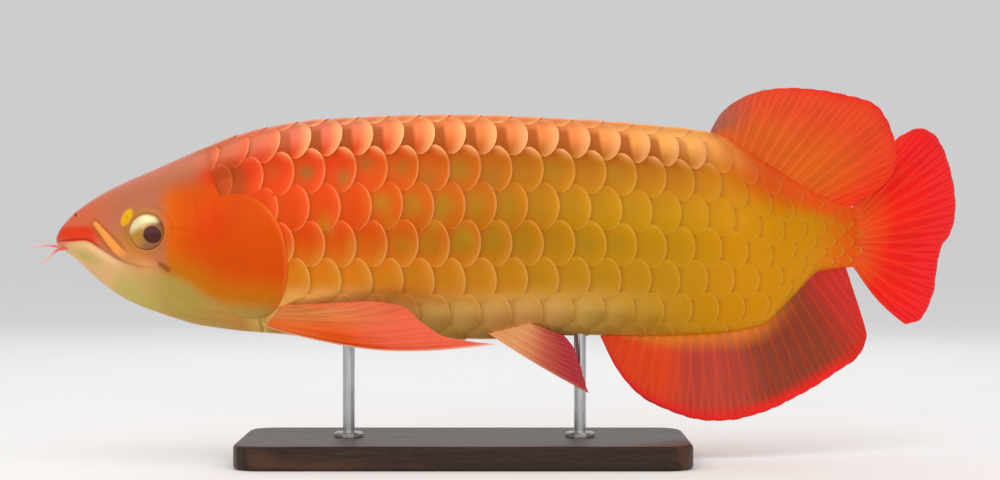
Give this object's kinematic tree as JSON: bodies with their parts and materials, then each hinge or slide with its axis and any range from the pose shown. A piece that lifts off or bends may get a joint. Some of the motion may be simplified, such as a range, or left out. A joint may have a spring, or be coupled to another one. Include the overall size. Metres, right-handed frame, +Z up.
{
  "type": "fish",
  "caption": "Life-size asian arowana, a long bony-tongued fish with large scales, chin barbels and broad rayed fins, its tail swung aside, on a flat display base with rods.",
  "frame": {"origin": "under the middle of the whole model's bounding box, on the underside of the display base", "axes": "+X from the head towards the tail, +Y to the fish's right, towards which the tail swings, +Z up"},
  "size_m": [0.6466, 0.1568, 0.2515],
  "materials": {
    "head_skin": "smooth wet skin, pinkish brown on the crown and orange on the cheeks",
    "jaw_skin": "smooth cream and peach skin with red lips",
    "gill_cover": "smooth deep orange-red with a metallic sheen",
    "eye": "glossy, pale silver-cream iris round a dark maroon pupil",
    "barbel": "soft pink skin",
    "scales_front": "large orange scales with duller centres and a metallic sheen",
    "scales_rear": "large golden yellow scales with a metallic sheen",
    "dorsal_fin": "red rayed membrane, orange at its base",
    "anal_fin": "red and mauve rayed membrane",
    "tail_fin": "bright red rayed membrane",
    "pectoral_fin": "orange to red rayed membrane with a pale pink edge",
    "pelvic_fin": "peach rayed membrane with a red tip",
    "dark_wood": "satin lacquer",
    "satin_steel": "satin"
  },
  "bodies": {
    "root": {"head": "head_skin", "lower_jaw": "jaw_skin", "gill_cover_left": "gill_cover", "gill_cover_right": "gill_cover", "eye_left": "eye", "eye_right": "eye", "barbel_left": "barbel", "barbel_right": "barbel", "torso": "scales_front", "tail": "scales_rear", "dorsal_fin": "dorsal_fin", "anal_fin": "anal_fin", "caudal_fin": "tail_fin", "pectoral_fin_left": "pectoral_fin", "pectoral_fin_right": "pectoral_fin", "pelvic_fin_left": "pelvic_fin", "pelvic_fin_right": "pelvic_fin", "stand_base": "dark_wood", "stand_rod_front": "satin_steel", "stand_rod_rear": "satin_steel"}
  },
  "joints": []
}
